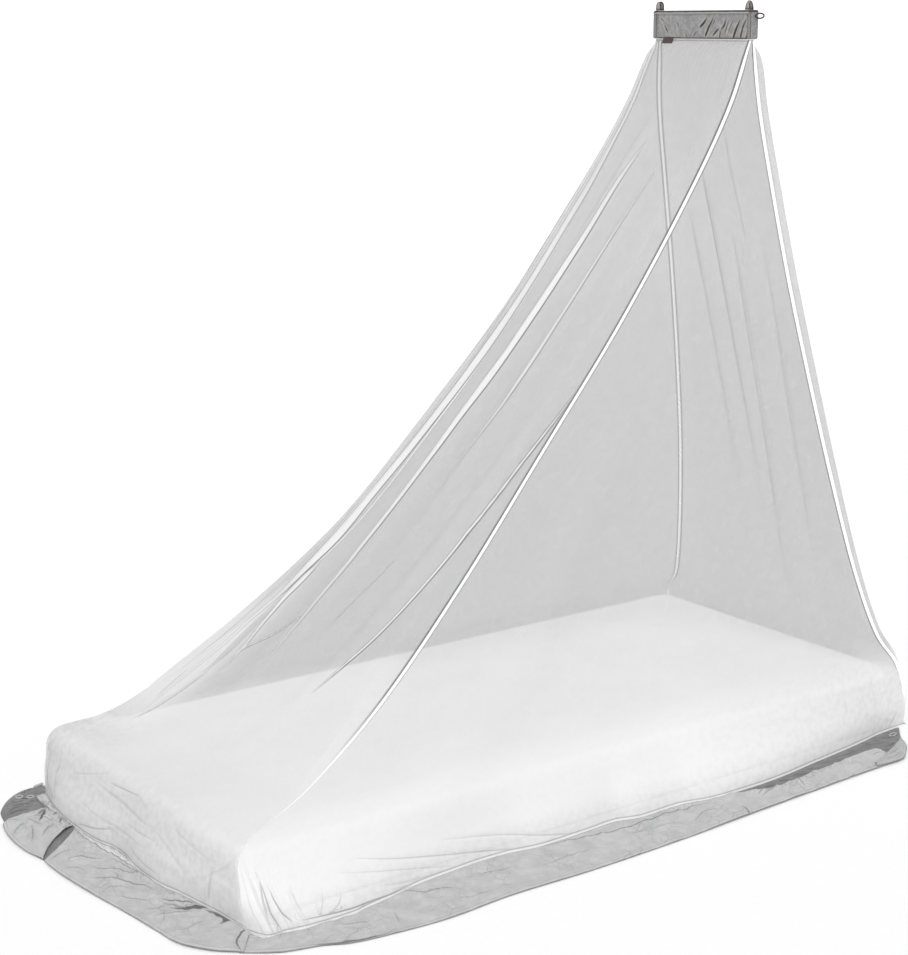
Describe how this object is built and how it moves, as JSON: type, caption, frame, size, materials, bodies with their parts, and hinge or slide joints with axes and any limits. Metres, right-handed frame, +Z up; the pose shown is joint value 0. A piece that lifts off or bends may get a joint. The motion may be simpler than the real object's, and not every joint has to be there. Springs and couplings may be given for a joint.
{
  "type": "mosquito net canopy with mattress",
  "caption": "Wedge-shaped white net canopy hanging by the webbing loops of a grey pouch over a plain single mattress, its opaque grey skirt spread on the floor.",
  "frame": {"origin": "the point that the canopy hangs from, midway between the tops of its two webbing loops", "axes": "+X from the foot of the mattress to its head, +Y from its near side to its far side, +Z up"},
  "size_m": [2.3729, 1.3151, 1.885],
  "materials": {
    "white_net": "fine sheer polyester mesh",
    "white_tape": "woven seam tape",
    "white_cotton": "fitted sheet, matt",
    "light_grey_skirt": "opaque coated polyester, crinkled",
    "dark_grey_skirt": "opaque polyester, matt",
    "pouch_grey": "padded woven polyester",
    "trim_grey": "woven webbing and cord",
    "pale_trim": "small moulded rings and toggle"
  },
  "bodies": {
    "root": {"net_near": "white_net", "net_far": "white_net", "net_foot": "white_net", "net_head": "white_net", "tape_foot_near": "white_tape", "tape_foot_far": "white_tape", "tape_head_near": "white_tape", "tape_head_far": "white_tape", "skirt_near": "light_grey_skirt", "skirt_foot": "light_grey_skirt", "skirt_foot_corner": "light_grey_skirt", "skirt_far": "light_grey_skirt", "skirt_head": "light_grey_skirt", "skirt_flap": "light_grey_skirt", "corner_foot_far": "dark_grey_skirt", "corner_head_near": "dark_grey_skirt", "pouch": "pouch_grey", "pouch_end_near": "pouch_grey", "pouch_end_far": "pouch_grey", "pouch_piping": "trim_grey", "pull_tab": "trim_grey", "hanging_loop_near": "trim_grey", "hanging_loop_far": "trim_grey", "end_ring": "trim_grey", "peg_ring_1": "pale_trim", "peg_ring_2": "pale_trim", "peg_toggle": "pale_trim", "peg_loop": "pale_trim", "mattress": "white_cotton"}
  },
  "joints": []
}
